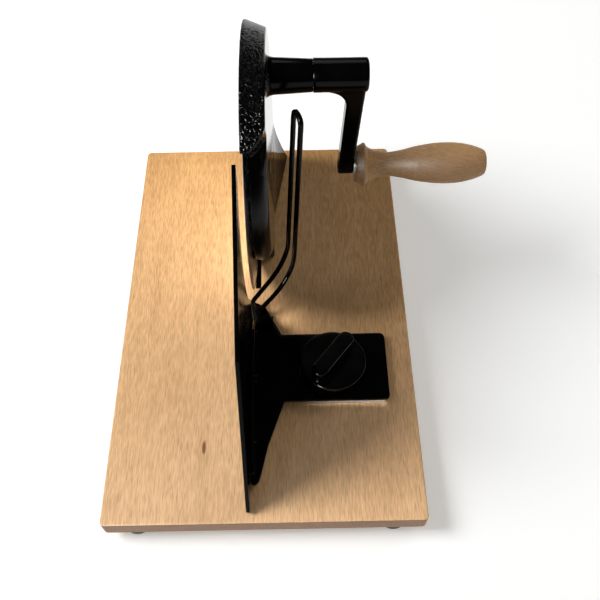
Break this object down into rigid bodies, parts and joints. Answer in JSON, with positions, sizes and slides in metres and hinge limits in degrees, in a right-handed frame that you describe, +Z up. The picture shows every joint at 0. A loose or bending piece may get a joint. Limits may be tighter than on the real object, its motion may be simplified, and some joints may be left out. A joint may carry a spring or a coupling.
{
  "type": "hand-crank bread slicer",
  "caption": "Round blade in a cast hood on a wooden board, turned by a crank with a wooden handle, beside a sliding fence set by a dial.",
  "frame": {"origin": "centre of the bounding box in X and Y, on the plane the rubber feet stand on", "axes": "+X points to the crank's side, +Y to the back of the board, away from the person who turns the crank, and +Z up"},
  "size_m": [0.2758, 0.345, 0.2157],
  "materials": {
    "oiled_beech": "oiled, satin",
    "turned_beech": "sanded and oiled",
    "crackle_black": "glossy black crackle paint on a casting",
    "gloss_black": "smooth gloss black paint",
    "polished_steel": "polished",
    "zinc_steel": "zinc plated",
    "bearing_bronze": "sintered",
    "white_nylon": "moulded",
    "black_plastic": "moulded, satin gloss",
    "black_rubber": "moulded, matte"
  },
  "bodies": {
    "base": {"base_board": "oiled_beech", "rubber_foot_front_left": "black_rubber", "rubber_foot_front_right": "black_rubber", "rubber_foot_rear_left": "black_rubber", "rubber_foot_rear_right": "black_rubber", "foot_screw_front_left": "zinc_steel", "foot_screw_front_right": "zinc_steel", "foot_screw_rear_left": "zinc_steel", "foot_screw_rear_right": "zinc_steel", "slide_rail": "zinc_steel", "rail_screw_1": "zinc_steel", "rail_screw_2": "zinc_steel", "housing": "crackle_black", "housing_bolt_front": "zinc_steel", "housing_bolt_rear": "zinc_steel", "housing_washer_front": "zinc_steel", "housing_washer_rear": "zinc_steel", "crank_bush_inner": "bearing_bronze", "crank_bush_outer": "bearing_bronze", "blade_bush": "bearing_bronze", "axle_cap": "black_plastic"},
    "crank": {"crank_shaft": "zinc_steel", "crank_pinion": "zinc_steel", "pinion_washer": "zinc_steel", "crank_arm": "gloss_black", "crank_screw": "zinc_steel", "handle_bolt": "zinc_steel", "handle_washer": "zinc_steel"},
    "handle": {"handle_grip": "turned_beech"},
    "blade": {"blade_disc": "polished_steel", "blade_gear": "white_nylon", "blade_axle": "zinc_steel", "blade_screw": "zinc_steel", "blade_rivet_1": "zinc_steel", "blade_rivet_2": "zinc_steel", "blade_rivet_3": "zinc_steel"},
    "fence": {"fence_plate": "gloss_black", "fence_bracket": "gloss_black", "fence_rivet_1": "gloss_black", "fence_rivet_2": "gloss_black", "fence_rivet_3": "gloss_black", "deflector_wire": "gloss_black", "wire_clamp": "gloss_black", "clamp_screw": "gloss_black"},
    "dial": {"thickness_dial": "black_plastic", "dial_pinion": "zinc_steel", "dial_washer": "zinc_steel", "dial_spring": "zinc_steel", "dial_nut": "zinc_steel"}
  },
  "joints": [
    {"name": "crank_turn", "type": "hinge", "parent": "base", "child": "crank", "pos_m": [0, 0.0665, 0.19475], "axis": [1, 0, 0], "continuous": true},
    {"name": "handle_spin", "type": "hinge", "parent": "crank", "child": "handle", "pos_m": [0.09, 0.0665, 0.11175], "axis": [1, 0, 0], "continuous": true},
    {"name": "blade_turn", "type": "hinge", "parent": "base", "child": "blade", "pos_m": [-0.03545, 0.0665, 0.1175], "axis": [1, 0, 0], "continuous": true},
    {"name": "dial_turn", "type": "hinge", "parent": "base", "child": "dial", "pos_m": [0.02215, -0.0577, 0.03], "axis": [0, 0, 1], "range_deg": [0, 163]},
    {"name": "fence_slide", "type": "slide", "parent": "base", "child": "fence", "axis": [1, 0, 0], "range_m": [0, 0.017]}
  ],
  "couplings": [
    {"joint": "blade_turn", "follows": "crank_turn", "ratio": -0.18391},
    {"joint": "dial_turn", "follows": "fence_slide", "rad_per_m": 166.67}
  ]
}
